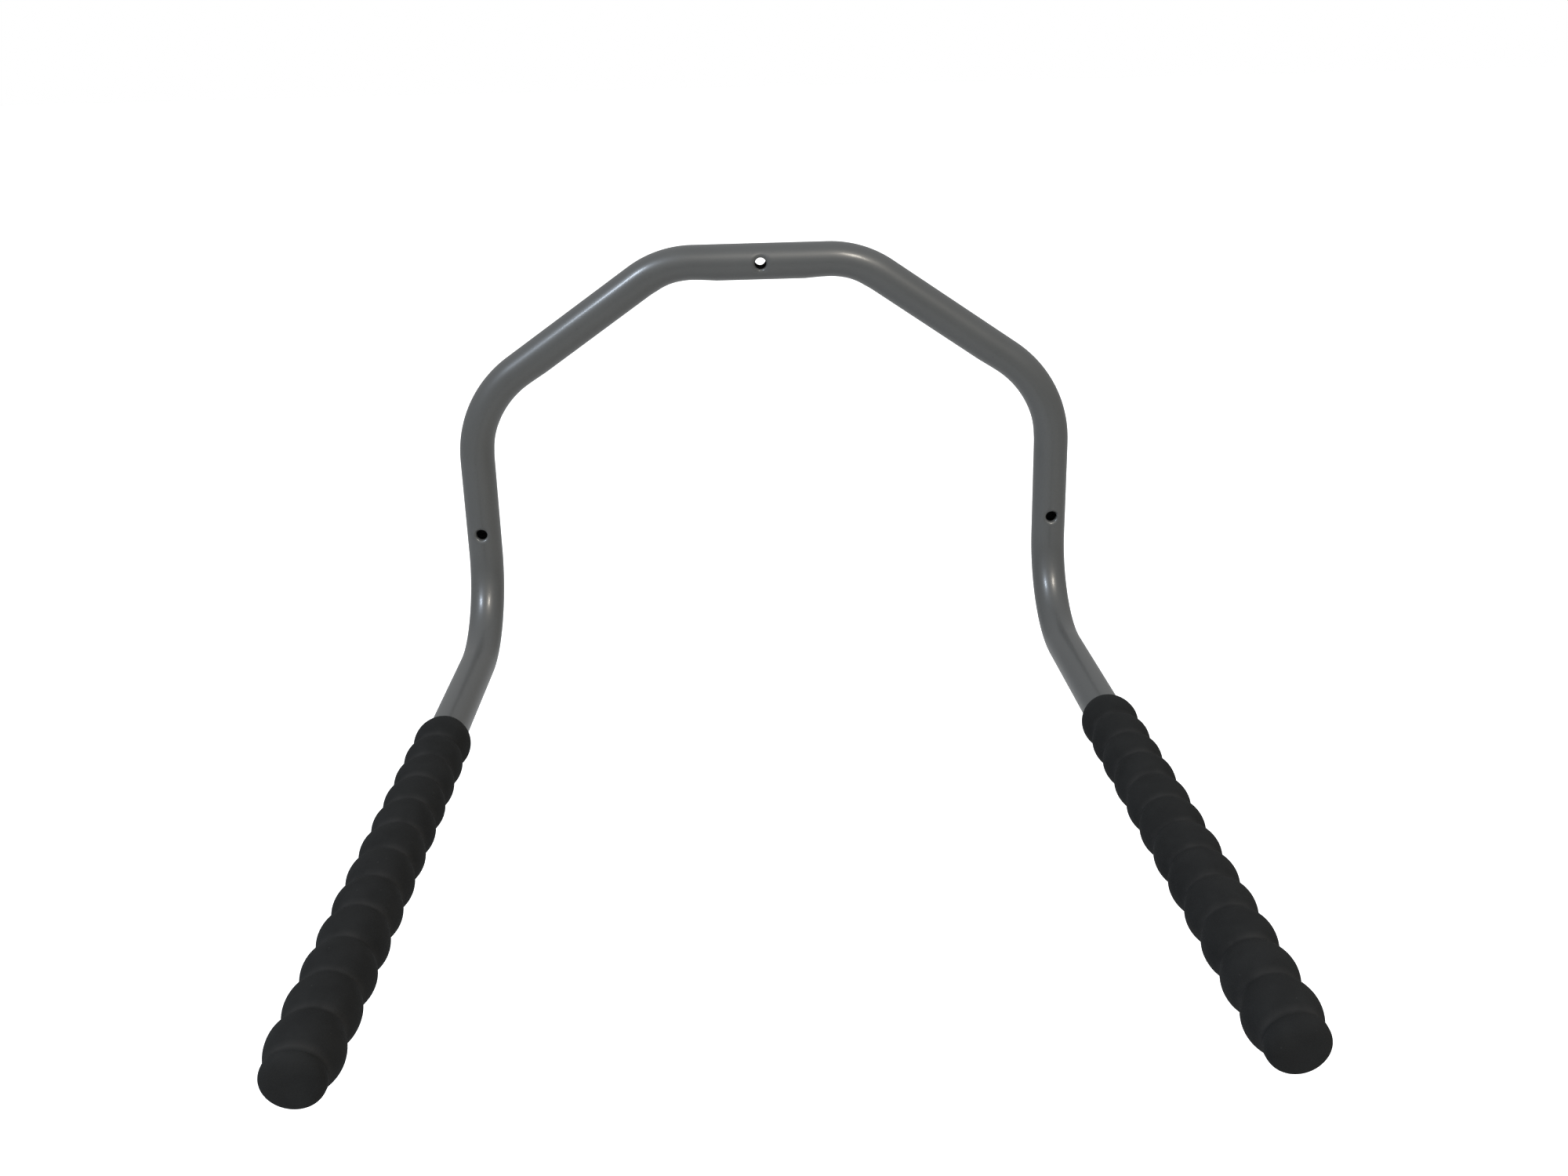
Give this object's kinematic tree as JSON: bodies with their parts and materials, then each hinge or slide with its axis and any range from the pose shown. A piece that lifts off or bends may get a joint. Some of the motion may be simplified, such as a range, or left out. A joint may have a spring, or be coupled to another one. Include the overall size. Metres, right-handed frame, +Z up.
{
  "type": "wall-mounted bicycle hanger",
  "caption": "Wall hanger bent from steel tube: an arch screws flat to the wall and its two forward arms, covered in beaded foam, carry a bicycle by its frame.",
  "frame": {"origin": "on the wall plane, on the axis of the top screw hole", "axes": "+X to the right as seen from the room, +Y into the wall, +Z up; the arms point along -Y"},
  "size_m": [0.4792, 0.5238, 0.3062],
  "materials": {
    "powder_coated_steel": "mid-grey powder coat, satin, with a fine orange-peel surface",
    "black_foam": "matte charcoal closed-cell foam with fine pores",
    "plug_plastic": "matte black moulded plastic"
  },
  "bodies": {
    "root": {"tube_frame": "powder_coated_steel", "left_foam_sleeve": "black_foam", "right_foam_sleeve": "black_foam", "left_tube_plug": "plug_plastic", "right_tube_plug": "plug_plastic"}
  },
  "joints": []
}
